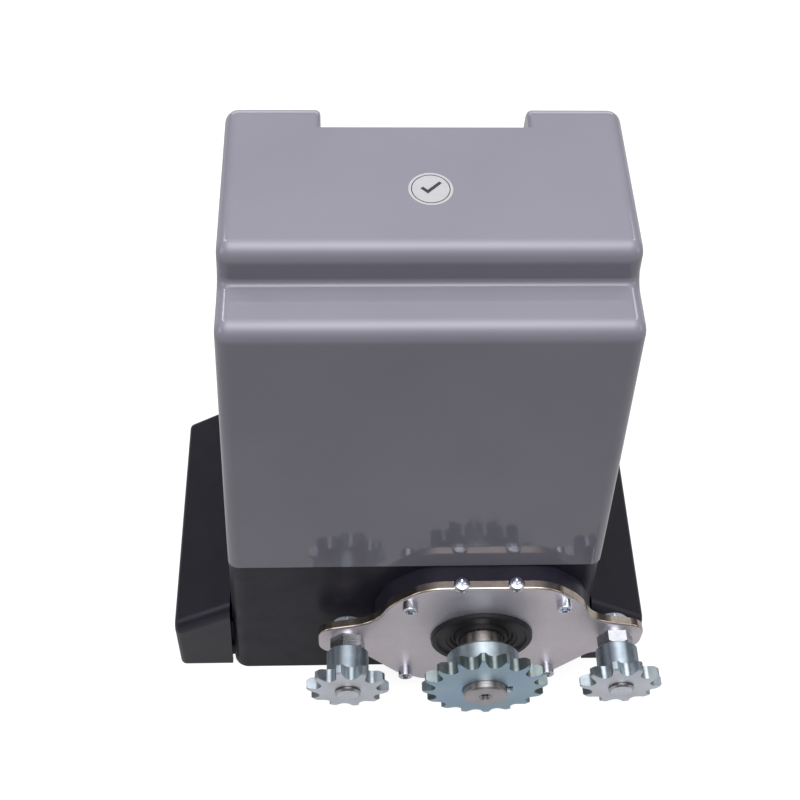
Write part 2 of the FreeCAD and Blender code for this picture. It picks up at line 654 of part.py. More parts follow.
def clutch_spring():
    """Compression spring behind the clutch, drawn at its fully compressed length."""
    turns = 4.0
    start = 13.9
    end = 37.8
    wire = 1.2
    pitch = (end - start - 2 * wire) / turns
    helix = Part.makeHelix(pitch, pitch * turns, 14.2)
    path = Part.Wire(helix)
    section = Part.Wire(Part.makeCircle(wire, V(14.2, 0, 0), V(0, 1, 0)))
    coil = path.makePipeShell([section], True, True)
    coil.rotate(V(0, 0, 0), V(1, 0, 0), -90)
    coil.translate(V(SHAFT_X, start + wire, SHAFT_Z))
    return coil


# ---- idlers -------------------------------------------------------------------------
def idler_sprocket(side, gap_phase):
    shape = sprocket_teeth(IDLER_TEETH, SPROCKET_FACE, SPROCKET_THICK, gap_phase, 31)
    hub_end = IDLER_HUB_END
    hub = turned_y(0, 0, [
        (0, SPROCKET_FACE + 1), (12, SPROCKET_FACE + 1), (12, hub_end - 0.8), (11.2, hub_end), (0, hub_end)])
    shape = shape.fuse(hub).cut(cyl_y(0, 0, 6.5, SPROCKET_FACE - 1, hub_end + 1))
    shape.translate(V(SHAFT_X + side * IDLER_SPAN, 0, SHAFT_Z))
    return shape


def idler_bush(side):
    x = SHAFT_X + side * IDLER_SPAN
    return ring_y(x, SHAFT_Z, 6.5, 5.0 + RUNNING, SPROCKET_FACE, IDLER_HUB_END)


def idler_axle(side, hex_turn):
    """Axle with a round head, a hexagon collar against the plate and a threaded end."""
    x = SHAFT_X + side * IDLER_SPAN
    pin_end = BOSS_FACE + NUT_HEIGHT + 0.9
    pin = turned_y(x, SHAFT_Z, [
        (0, -126.6), (6.1, -126.6), (7.3, -125.6), (7.3, -124.8), (5, -124.8), (5, pin_end - 0.8),
        (4.2, pin_end), (0, pin_end)])
    collar = prism_y([(x + u, SHAFT_Z + w) for u, w in hexagon(18.0, hex_turn)], -100.2, -93.0)
    chamfer = turned_y(x, SHAFT_Z, [(0, -101.0), (8.4, -101.0), (10.5, -98.9), (10.5, -93.0), (0, -93.0)])
    thrust_face = cyl_y(x, SHAFT_Z, 8.0, IDLER_HUB_END + 0.3, -100.2)
    return pin.fuse([collar.common(chamfer), thrust_face])


def idler_washers():
    return [ring_y(SHAFT_X + s * IDLER_SPAN, SHAFT_Z, 8.4, 5.1, -93.0, PLATE_FACE) for s in (-1, 1)]


def idler_nuts():
    nuts = []
    for side in (-1, 1):
        x = SHAFT_X + side * IDLER_SPAN
        back = BOSS_FACE + NUT_HEIGHT
        body = prism_y([(x + u, SHAFT_Z + w) for u, w in hexagon(16.0, 30)], BOSS_FACE, back)
        dome = turned_y(x, SHAFT_Z, [
            (0, BOSS_FACE), (9.0, BOSS_FACE), (9.0, back - 1.2), (7.8, back), (0, back)])
        nuts.append(body.common(dome).cut(cyl_y(x, SHAFT_Z, 5.0, BOSS_FACE - 1, back + 1)))
    return nuts


# ---- worm motor ---------------------------------------------------------------------
WORM_LOW = 46.0
WORM_HIGH = 94.0
CORE_LOW = 148.0
CORE_HIGH = 212.0
MOTOR_RADIUS = 50.0


def worm_thread():
    """Single start right-hand thread about Z."""
    root = 7.2
    tip = WORM_PITCH_RADIUS + MODULE * 0.95
    slope = math.tan(math.radians(20))
    pitch_half = 1.3
    root_half = pitch_half + (WORM_PITCH_RADIUS - root) * slope
    tip_half = pitch_half - (tip - WORM_PITCH_RADIUS) * slope
    length = WORM_HIGH - WORM_LOW - 2 * root_half
    helix = Part.makeHelix(LEAD, length, root)
    section = Part.makePolygon([
        V(root, 0, -root_half), V(tip, 0, -tip_half), V(tip, 0, tip_half), V(root, 0, root_half),
        V(root, 0, -root_half)])
    thread = Part.Wire(helix).makePipeShell([section], True, True)
    thread.translate(V(0, 0, WORM_LOW + root_half))
    start_turn = 360.0 * (SHAFT_Z - (WORM_LOW + root_half) + LEAD / 2) / LEAD
    thread.rotate(V(0, 0, 0), V(0, 0, 1), -start_turn)
    return thread


def motor_shaft():
    core = turned_z(0, 0, [
        (0, 15), (6.8, 15), (7.5, 15.7), (7.5, 26), (8.5, 26), (8.5, 40), (7.6, 42), (7.6, 98),
        (8.5, 100), (8.5, 138), (9, 138), (9, 226), (7.5, 226), (7.5, 243), (0, 243)])
    shape = core.fuse(worm_thread())
    shape.translate(V(0, MESH_Y, 0))
    return shape


def rotor():
    body = ring_z(0, 0, 27.5, 9, CORE_LOW, CORE_HIGH)
    for z in (CORE_LOW - 6, CORE_HIGH):
        body = body.fuse(ring_z(0, 0, 26, 16, z, z + 6))
    body.translate(V(0, MESH_Y, 0))
    return body


def motor_bolt_place(angle):
    reach = MOTOR_RADIUS + 4.5
    return (reach * math.cos(math.radians(angle)), MESH_Y + reach * math.sin(math.radians(angle)))


def endbell(low, high, floor_low, floor_high, seat_radius, seat_low, seat_high, bore):
    """Cast motor end: a cup with four lugs and a bearing seat."""
    cup = ring_z(0, MESH_Y, MOTOR_RADIUS + 2, MOTOR_RADIUS - 2, low, high)
    cup = cup.fuse(cyl_z(0, MESH_Y, MOTOR_RADIUS + 1, floor_low, floor_high))
    cup = cup.fuse(cyl_z(0, MESH_Y, seat_radius + 4, min(seat_low, floor_low), max(seat_high, floor_high)))
    for angle in (45, 135, 225, 315):
        x, y = motor_bolt_place(angle)
        cup = cup.fuse(cyl_z(x, y, 6.0, low, high).cut(cyl_z(0, MESH_Y, MOTOR_RADIUS, low - 1, high + 1)))
        cup = cup.cut(cyl_z(x, y, 2.6, low - 1, high + 1))
    cup = cup.cut(cyl_z(0, MESH_Y, seat_radius, seat_low, seat_high))
    return cup.cut(cyl_z(0, MESH_Y, bore, low - 30, high + 30))


def motor_lower_endbell():
    return endbell(LID_TOP, CORE_LOW - 0.2, LID_TOP, LID_TOP + 5, 20, LID_TOP + 2, LID_TOP + 14, 15)


def motor_upper_endbell():
    return endbell(CORE_HIGH + 0.2, 240, 235, 240, 17.5, 232, 243, 12).cut(
        cyl_z(0, MESH_Y, 17.5, 231, 243))


def stator_core():
    core = ring_z(0, 0, MOTOR_RADIUS, 28, CORE_LOW, CORE_HIGH)
    for angle in (45, 135, 225, 315):
        notch = cyl_z(MOTOR_RADIUS + 4.5, 0, 3.2, CORE_LOW - 1, CORE_HIGH + 1)
        notch.rotate(V(0, 0, 0), V(0, 0, 1), angle)
        core = core.cut(notch)
    slots = []
    for i in range(24):
        slot = box(27, 38, -1.6, 1.6, CORE_LOW - 1, CORE_HIGH + 1)
        slot.rotate(V(0, 0, 0), V(0, 0, 1), 15.0 * i)
        slots.append(slot)
    core = core.cut(slots)
    core.translate(V(0, MESH_Y, 0))
    return core


def stator_windings():
    rings = []
    for low, high in ((CORE_LOW - 14, CORE_LOW - 0.1), (CORE_HIGH + 0.1, CORE_HIGH + 14)):
        ring = ring_z(0, MESH_Y, 44, 30, low, high)
        ends = edges_where(ring, lambda e: True)
        rings.append(ring.makeFillet(4.0, ends))
    for i in range(24):
        bar = box(29, 37.9, -1.4, 1.4, CORE_LOW + 0.1, CORE_HIGH - 0.1)
        bar.rotate(V(0, 0, 0), V(0, 0, 1), 15.0 * i)
        bar.translate(V(0, MESH_Y, 0))
        rings.append(bar)
    return rings


def motor_bolts():
    bolts = []
    for angle in (45, 135, 225, 315):
        x, y = motor_bolt_place(angle)
        rod = cyl_z(x, y, 2.5, LID_TOP + 0.2, 240)
        tip = cyl_z(x, y, 2.0, LID_SEAT + GASKET + 0.5, LID_TOP + 0.2)
        head = prism_z([(x + u, y + w) for u, w in hexagon(8)], 240, 243.5)
        bolts.append(rod.fuse([tip, head]))
    return bolts


# ---- manual release -----------------------------------------------------------------
def release_lever():
    """Lever in the cover's recess; its shaft goes down through the casting."""
    vertices = [(-34, 66, 3), (LEVER_X, 66, 0), (LEVER_X, 75.5, 0), (-12, 76.3, 40), (-34, 75.0, 4)]
    shape = slab_z(vertices, LEVER_LOW, LEVER_HIGH)
    shape = shape.fuse(cyl_z(LEVER_X, LEVER_Y, 6, LEVER_LOW, LEVER_HIGH))
    shape = shape.fuse(cyl_z(LEVER_X, LEVER_Y, 4.0, 105, LEVER_LOW + 1))
    shape = shape.cut(cyl_y(LOCK_X, LOCK_Z, 6.0 + RUNNING, 60, 80))
    scoop = Part.makeSphere(26, V(8, 96.5, LOCK_Z))
    return shape.cut(scoop)


def release_crank():
    """Crank on the lever's shaft, with the pin that moves the shift fork."""
    hub = cyl_z(LEVER_X, LEVER_Y, 5.6, 106.2, 110.6).cut(cyl_z(LEVER_X, LEVER_Y, 4.0, 100, 112))
    throw = CRANK_THROW * math.sqrt(0.5)
    pin_x = LEVER_X - throw
    pin_y = LEVER_Y - throw
    arm = cyl_z(pin_x, pin_y, 3.2, 106.2, 107.8).cut(cyl_z(LEVER_X, LEVER_Y, 4.0, 100, 112))
    pin = cyl_z(pin_x, pin_y, 2.5, 99.0, 107.8).cut(cyl_z(LEVER_X, LEVER_Y, 4.0, 104.9, 112))
    return hub.fuse([arm, pin])


def shift_fork():
    """Fork around the clutch groove, on a rod that runs back to the crank."""
    low = 3.1
    high = 9.1
    fork = ring_y(SHAFT_X, SHAFT_Z, 26, 18.6, low, high)
    fork = fork.cut(box(0, 80, low - 1, high + 1, 30, SHAFT_Z - 6))
    web = prism_y([(LEVER_X - 5, FORK_Z), (LEVER_X + 5, FORK_Z), (50, 92), (26, 90)], low, high)
    web = web.cut(cyl_y(SHAFT_X, SHAFT_Z, 18.6, low - 1, high + 1))
    rod = cyl_y(LEVER_X, FORK_Z, 5.0, low, 56.5)
    throw = CRANK_THROW * math.sqrt(0.5)
    end = box(LEVER_X - 11, LEVER_X + 4, 56, LEVER_Y - throw + 4.8, 98, 104.6)
    slot = box(LEVER_X - 8.6, LEVER_X + 2, LEVER_Y - throw - 2.8, LEVER_Y - throw + 2.8, 97, 106)
    return fork.fuse([web, rod, end]).cut(slot)


def key_lock():
    """Lock barrel in the lever, with the cam that holds the lever shut when turned down."""
    barrel = cyl_y(LOCK_X, LOCK_Z, 6.0, 65.6, 76.6)
    barrel = barrel.cut(box(LOCK_X - 0.6, LOCK_X + 0.6, 72, 78, LOCK_Z - 3.4, LOCK_Z + 3.4))
    cam = slab_y([(LOCK_X - 4, LOCK_Z - 3.5, 3), (LOCK_X + 14.5, LOCK_Z - 3.5, 2),
                  (LOCK_X + 14.5, LOCK_Z + 3.5, 2), (LOCK_X - 4, LOCK_Z + 3.5, 3)], 63.7, 65.6)
    return barrel.fuse(cam)


def worm_seal():
    return turned_z(0, MESH_Y, [
        (8.55, 117.6), (10.5, 116.2), (13, 116.2), (13, 121.8), (11.2, 121.8), (11.2, 118.4), (9.6, 119.0)])


# ---- electrical pieces --------------------------------------------------------------
def run_capacitor():
    can = cyl_z(70, 20, 20, LID_TOP + 3, LID_TOP + 83)
    can = can.fuse(box(66.5, 67.5, 16, 24, LID_TOP + 82, LID_TOP + 93))
    return can.fuse(box(72.5, 73.5, 16, 24, LID_TOP + 82, LID_TOP + 93))


def capacitor_clamp():
    base = box(50, 86, 2, 40, LID_TOP, LID_TOP + 2.9)
    band = ring_z(70, 20, 22, 20.1, LID_TOP + 2.9, LID_TOP + 22)
    return base.fuse(band)


def transformer():
    """Laminated core with its mounting feet, and the coil through its window."""
    core = box(58, 92, -50, -8, LID_TOP, LID_TOP + 52)
    coil = slab_z(rectangle(53, 94.5, -42, -16, 4), LID_TOP + 9, LID_TOP + 43)
    return core.fuse(coil)


BOARD_X = -66.0


def board_bracket():
    upright = box(BOARD_X + 6, BOARD_X + 7.5, -58, 46, LID_SEAT, 262)
    foot_plate = box(BOARD_X + 6, -44, -68, 56, LID_SEAT, LID_SEAT + 1.5)
    window = box(BOARD_X + 5, BOARD_X + 9, -40, 28, 150, 240)
    return upright.fuse(foot_plate).cut(window)


def control_board():
    board = box(BOARD_X, BOARD_X + 1.6, -56, 44, 150, 260)
    spacers = []
    for y in (-52, 40):
        for z in (154, 256):
            spacers.append(cyl_x(y, z, 3, BOARD_X + 1.6, BOARD_X + 6))
    return board.fuse(spacers)


def board_relays():
    return [box(BOARD_X - 15.6, BOARD_X, y, y + 19, 200, 215.5) for y in (-50, -27, -4)]


def terminal_blocks():
    blocks = []
    for y in (-52, -4):
        block = box(BOARD_X - 12, BOARD_X, y, y + 44, 153, 163)
        for i in range(8):
            block = block.cut(cyl_x(y + 3.0 + 5.4 * i, 158, 1.8, BOARD_X - 13, BOARD_X - 6))
        blocks.append(block)
    return blocks


def board_capacitors():
    return [cyl_x(y, 236, 7, BOARD_X - 20, BOARD_X) for y in (-38, -18)]


def limit_sensor():
    """Limit sensor on its bracket, behind the cover's gate side."""
    bracket = box(48, 86, -69, -67.4, LID_TOP, 172).fuse(box(48, 86, -69, -58, LID_TOP, LID_TOP + 1.6))
    return bracket.fuse(box(52, 82, -67.4, -62.5, 140, 168))


# ---- cover --------------------------------------------------------------------------
def cover_profile(inset, low):
    """Side outline of the cover as (y, z, radius) vertices."""
    front_slope = (COVER_FRONT_SHELF - COVER_FRONT) / (COVER_SHELF - COVER_BOTTOM)
    front_low = COVER_FRONT + inset - (COVER_BOTTOM - low) * front_slope
    back_slope = (COVER_BACK_BOTTOM - COVER_BACK_TOP) / (COVER_TOP - COVER_BOTTOM)
    back_low = COVER_BACK_BOTTOM + (COVER_BOTTOM - low) * back_slope
    convex = SHELF_ROUND - inset
    return [(front_low, low, 0), (COVER_FRONT_SHELF + inset, COVER_SHELF - inset, convex),
            (COVER_RISER + inset, COVER_SHELF - inset, SHELF_HOLLOW + inset),
            (COVER_RISER + inset, COVER_TOP - inset, convex),
            (COVER_BACK_TOP - inset, COVER_TOP - inset, BACK_ROUND - inset), (back_low - inset, low, 0)]


def cover_block(inset, low):
    """Solid bounded by the cover's faces, moved inwards by inset."""
    body = slab_x(cover_profile(inset, low), -120, 120)
    slope = (COVER_HALF_BOTTOM - COVER_HALF_TOP) / (COVER_TOP - COVER_BOTTOM)
    half_low = COVER_HALF_BOTTOM - inset - slope * (low - COVER_BOTTOM)
    half_top = COVER_HALF_TOP - inset - slope * 10
    sides = [(-half_low, low), (half_low, low), (half_top, COVER_TOP + 10), (-half_top, COVER_TOP + 10)]
    return body.common(prism_y(sides, -120, 120))


def recess_block(grow, low):
    """Space of the user-side recess, which follows the slope of the back."""
    slope = (COVER_BACK_BOTTOM - COVER_BACK_TOP) / (COVER_TOP - COVER_BOTTOM)
    top_depth = RECESS_DEPTH_TOP + grow
    low_depth = RECESS_DEPTH_BOTTOM + grow
    floor_top = COVER_BACK_TOP - top_depth - slope * 10
    floor_low = COVER_BACK_BOTTOM - low_depth + slope * (COVER_BOTTOM - low)
    outline = [(floor_top, COVER_TOP + 10), (floor_low, low), (140, low), (140, COVER_TOP + 10)]
    return prism_x(outline, -RECESS_HALF - grow, RECESS_HALF + grow)


def cover():
    outer = cover_block(0.0, COVER_BOTTOM)
    slope_side = (COVER_HALF_BOTTOM - COVER_HALF_TOP) / (COVER_TOP - COVER_BOTTOM)

    def on_side(edge):
        points = [edge.valueAt(edge.FirstParameter), edge.valueAt(edge.LastParameter)]
        for point in points:
            half = COVER_HALF_BOTTOM - slope_side * (point.z - COVER_BOTTOM)
            if abs(abs(point.x) - half) > 0.05:
                return False
        return abs(points[0].x - points[1].x) < 100 and edge.BoundBox.ZMax > COVER_BOTTOM + 0.5
    outer = outer.makeFillet(SIDE_ROUND, edges_where(outer, on_side))
    outer = outer.cut(recess_block(0.0, COVER_BOTTOM - 1))

    def on_recess_lip(edge):
        in_line = abs(abs(edge.CenterOfMass.x) - RECESS_HALF) < 0.05
        return in_line and edge.BoundBox.ZLength > 150 and edge.CenterOfMass.y > 55
    outer = outer.makeFillet(2.5, edges_where(outer, on_recess_lip))
    inner = cover_block(COVER_WALL, COVER_BOTTOM - 1).cut(recess_block(COVER_WALL, COVER_BOTTOM - 2))
    shell = outer.cut(inner)
    for side in (-1, 1):
        tab_outline = rectangle(COVER_SCREW_X - 5, RECESS_HALF + 1, 62, 76.5, 1)
        tab = slab_z(tab_outline, COVER_BOTTOM, COVER_BOTTOM + COVER_WALL)
        tab = tab.cut(cyl_z(COVER_SCREW_X, COVER_SCREW_Y, 2.6, COVER_BOTTOM - 1, COVER_BOTTOM + 4))
        shell = shell.fuse(tab if side > 0 else mirrored(tab))
    return shell


def inspection_sticker():
    return cyl_z(1.0, -8.8, 10.0, COVER_TOP, COVER_TOP + 0.12)


def cover_screws():
    """Two captive screws that hold the cover down, reached from the recess."""
    screws = []
    seat = COVER_BOTTOM + 3
    for x in (-COVER_SCREW_X, COVER_SCREW_X):
        head = cyl_z(x, COVER_SCREW_Y, 4.0, seat, seat + 4)
        socket = prism_z([(x + u, COVER_SCREW_Y + w) for u, w in hexagon(4)], seat + 1.6, seat + 5)
        screws.append(head.cut(socket).fuse(cyl_z(x, COVER_SCREW_Y, 2.45, 114, seat)))
    return screws


def bearings():
    clear = 0.02
    save("output_front_bearing", bearing(onto_shaft_line, 12.5 + clear, 26, -84, -69.05, 9))
    save("output_rear_bearing", bearing(onto_shaft_line, 10 + clear, 23.5, 42, 56, 8))
    save("worm_tip_bearing", bearing(onto_motor_line, 7.5 + clear, 17.5, 14, 25, 8))
    save("motor_lower_bearing", bearing(onto_motor_line, 8.5 + clear, 20, 124, 136, 8))
    save("motor_upper_bearing", bearing(onto_motor_line, 7.5 + clear, 17.5, 232, 243, 8))


def main():
    os.makedirs("parts", exist_ok=True)
    save("gear_housing", gear_housing())
    save("housing_lid", housing_lid())
    save("lid_gasket", lid_gasket())
    save("lid_screws", lid_screws())
    save("levelling_screws", levelling_screws())
    save("cable_grommet", cable_grommet())
    save("right_foot_cover", foot_cover())
    save("left_foot_cover", mirrored(foot_cover()))
    save("chain_plate", chain_plate())
    save("plate_screws", plate_screws())
    save("limit_bracket_screws", limit_bracket_screws())
    save("seal_retainer", seal_retainer())
    save("oil_seal", oil_seal())
    bearings()
    save("output_shaft", output_shaft())
    save("sprocket_key", sprocket_key())
    save("clutch_key", clutch_key())
    save("drive_sprocket", drive_sprocket())
    save("sprocket_set_screw", sprocket_set_screw())
    save("spacer_sleeve", spacer_sleeve())
    save("worm_wheel", worm_wheel())
    save("wheel_bush", wheel_bush())
    save("clutch_dog", clutch_dog())
    save("clutch_spring", clutch_spring())
    for name, side, gap_phase, hex_turn in (("left", -1, -5.8, 43), ("right", 1, -1.5, 0)):
        save(name + "_idler_sprocket", idler_sprocket(side, gap_phase))
        save(name + "_idler_bush", idler_bush(side))
        save(name + "_idler_axle", idler_axle(side, hex_turn))
    save("idler_washers", idler_washers())
    save("idler_nuts", idler_nuts())
    save("motor_shaft", motor_shaft())
    save("rotor", rotor())
    save("worm_seal", worm_seal())
    save("motor_lower_endbell", motor_lower_endbell())
    save("motor_upper_endbell", motor_upper_endbell())
    save("stator_core", stator_core())
    save("stator_windings", stator_windings())
    save("motor_bolts", motor_bolts())
    save("release_lever", release_lever())
    save("release_crank", release_crank())
    save("shift_fork", shift_fork())
    save("key_lock", key_lock())
    save("run_capacitor", run_capacitor())
    save("capacitor_clamp", capacitor_clamp())
    save("transformer", transformer())
    save("board_bracket", board_bracket())
    save("control_board", control_board())
    save("board_relays", board_relays())
    save("terminal_blocks", terminal_blocks())
    save("board_capacitors", board_capacitors())
    save("limit_sensor", limit_sensor())
    save("cover", cover())
    save("inspection_sticker", inspection_sticker())
    save("cover_screws", cover_screws())


main()
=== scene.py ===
import math

import bmesh
import bpy
from mathutils import Matrix, Vector


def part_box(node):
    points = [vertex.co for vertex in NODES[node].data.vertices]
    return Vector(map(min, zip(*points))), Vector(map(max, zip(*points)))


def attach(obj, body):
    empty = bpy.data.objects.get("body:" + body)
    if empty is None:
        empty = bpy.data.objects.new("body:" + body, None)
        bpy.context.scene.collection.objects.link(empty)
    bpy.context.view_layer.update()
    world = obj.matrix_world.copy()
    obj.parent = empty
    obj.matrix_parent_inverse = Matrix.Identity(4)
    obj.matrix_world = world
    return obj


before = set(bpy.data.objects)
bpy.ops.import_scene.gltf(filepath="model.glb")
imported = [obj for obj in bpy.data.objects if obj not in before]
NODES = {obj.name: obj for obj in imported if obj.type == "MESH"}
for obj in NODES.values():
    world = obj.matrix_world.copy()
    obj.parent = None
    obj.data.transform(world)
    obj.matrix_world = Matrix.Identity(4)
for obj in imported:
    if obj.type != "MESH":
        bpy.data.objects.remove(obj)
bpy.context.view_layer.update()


# ---------------------------------------------------------------- camera, floor and light

CAMERA_PLACE = Vector((-0.0349, -0.4216, 0.7622))
CAMERA_LOOK = Vector((0.0376, 0.5850, -0.8096))
CAMERA_RIGHT = Vector((0.9993, -0.0287, 0.0291))
CAMERA_LENS_MM = 58.5


def add_camera():
    """The camera: it looks down at the gate side from about 54 degrees."""
    forward = CAMERA_LOOK.normalized()
    right = (CAMERA_RIGHT - CAMERA_RIGHT.dot(forward) * forward).normalized()
    up = right.cross(forward)
    data = bpy.data.cameras.new("camera")
    data.lens = CAMERA_LENS_MM
    data.sensor_width = 36.0
    data.clip_start = 0.01
    camera = bpy.data.objects.new("camera", data)
    turn = Matrix((right, up, -forward)).transposed().to_4x4()
    camera.matrix_world = Matrix.Translation(CAMERA_PLACE) @ turn
    bpy.context.scene.collection.objects.link(camera)
    bpy.context.scene.camera = camera


def add_softbox(name, place, target, size, radiance):
    """An area light of that width, height and radiance that faces its target."""
    data = bpy.data.lights.new(name, "AREA")
    data.shape = "RECTANGLE"
    data.size, data.size_y = size
    data.energy = radiance * math.pi * size[0] * size[1]
    lamp = bpy.data.objects.new(name, data)
    aim = Vector(target) - Vector(place)
    lamp.rotation_euler = aim.to_track_quat("-Z", "Y").to_euler()
    lamp.location = place
    bpy.context.scene.collection.objects.link(lamp)


def add_world(ambient, glow, spread, aim, backdrop):
    """A dim surround with a soft overhead glow, seen by the camera as a white studio.

    The glow is brightest in the aim direction and narrows as spread rises.
    """
    world = bpy.data.worlds.new("studio")
    bpy.context.scene.world = world
    world.use_nodes = True
    tree = world.node_tree
    tree.nodes.clear()
    place = tree.nodes.new("ShaderNodeTexCoord")
    toward = tree.nodes.new("ShaderNodeVectorMath")
    toward.operation = "DOT_PRODUCT"
    toward.inputs[1].default_value = Vector(aim).normalized()
    tree.links.new(place.outputs["Generated"], toward.inputs[0])
    strength = toward.outputs["Value"]
    for operation, value in (("MAXIMUM", 0.0), ("POWER", spread), ("MULTIPLY", glow), ("ADD", ambient)):
        step = tree.nodes.new("ShaderNodeMath")
        step.operation = operation
        step.inputs[1].default_value = value
        tree.links.new(strength, step.inputs[0])
        strength = step.outputs[0]
    dim = tree.nodes.new("ShaderNodeBackground")
    tree.links.new(strength, dim.inputs["Strength"])
    white = tree.nodes.new("ShaderNodeBackground")
    white.inputs["Color"].default_value = (*backdrop, 1.0)
    path = tree.nodes.new("ShaderNodeLightPath")
    mix = tree.nodes.new("ShaderNodeMixShader")
    out = tree.nodes.new("ShaderNodeOutputWorld")
    tree.links.new(path.outputs["Is Camera Ray"], mix.inputs["Fac"])
    tree.links.new(dim.outputs[0], mix.inputs[1])
    tree.links.new(white.outputs[0], mix.inputs[2])
    tree.links.new(mix.outputs[0], out.inputs["Surface"])


def add_floor(half_width, grey, lift, mirrored_lift):
    """A plain pale floor, lifted towards white where the camera or a reflection sees it."""
    shape = bmesh.new()
    corners = [shape.verts.new((x * half_width, y * half_width, 0.0))
               for x, y in ((-1, -1), (1, -1), (1, 1), (-1, 1))]
    shape.faces.new(corners)
    mesh = bpy.data.meshes.new("floor")
    shape.to_mesh(mesh)
    shape.free()
    floor = bpy.data.objects.new("floor", mesh)
    bpy.context.scene.collection.objects.link(floor)
    material = bpy.data.materials.new("floor")
    material.use_nodes = True
    tree = material.node_tree
    shader = tree.nodes["Principled BSDF"]
    shader.inputs["Base Color"].default_value = (grey, grey, grey, 1.0)
    shader.inputs["Roughness"].default_value = 0.9
    shader.inputs["Emission Color"].default_value = (1.0, 1.0, 1.0, 1.0)
    path = tree.nodes.new("ShaderNodeLightPath")
    seen = tree.nodes.new("ShaderNodeMath")
    seen.operation = "MULTIPLY"
    seen.inputs[1].default_value = lift
    tree.links.new(path.outputs["Is Camera Ray"], seen.inputs[0])
    both = tree.nodes.new("ShaderNodeMath")
    both.operation = "MULTIPLY_ADD"
    both.inputs[1].default_value = mirrored_lift
    tree.links.new(path.outputs["Is Glossy Ray"], both.inputs[0])
    tree.links.new(seen.outputs[0], both.inputs[2])
    tree.links.new(both.outputs[0], shader.inputs["Emission Strength"])
    mesh.materials.append(material)


def add_studio():
    """Camera, floor, a glow overhead, a strip and a box on each side, and a panel behind."""
    middle = (0.0, 0.0, 0.2)
    add_camera()
    add_floor(6.0, 0.16, 0.90, 0.32)
    add_world(0.08, 8.5, 7.0, (0.0, -0.07, 1.0), (1.0, 1.0, 1.0))
    add_softbox("left_strip", (-1.30, 1.20, 1.65), middle, (0.35, 0.8), 7.0)
    add_softbox("right_strip", (1.30, 1.20, 1.65), middle, (0.35, 0.8), 5.0)
    add_softbox("left_box", (-1.9, -0.3, 0.9), middle, (0.8, 0.9), 2.0)
    add_softbox("right_box", (1.9, -0.3, 0.9), middle, (0.8, 0.9), 1.6)
    add_softbox("back_panel", (0.0, 2.6, 0.8), middle, (3.0, 1.0), 2.0)
    bpy.context.scene.view_settings.view_transform = "Standard"


# ---------------------------------------------------------------- materials


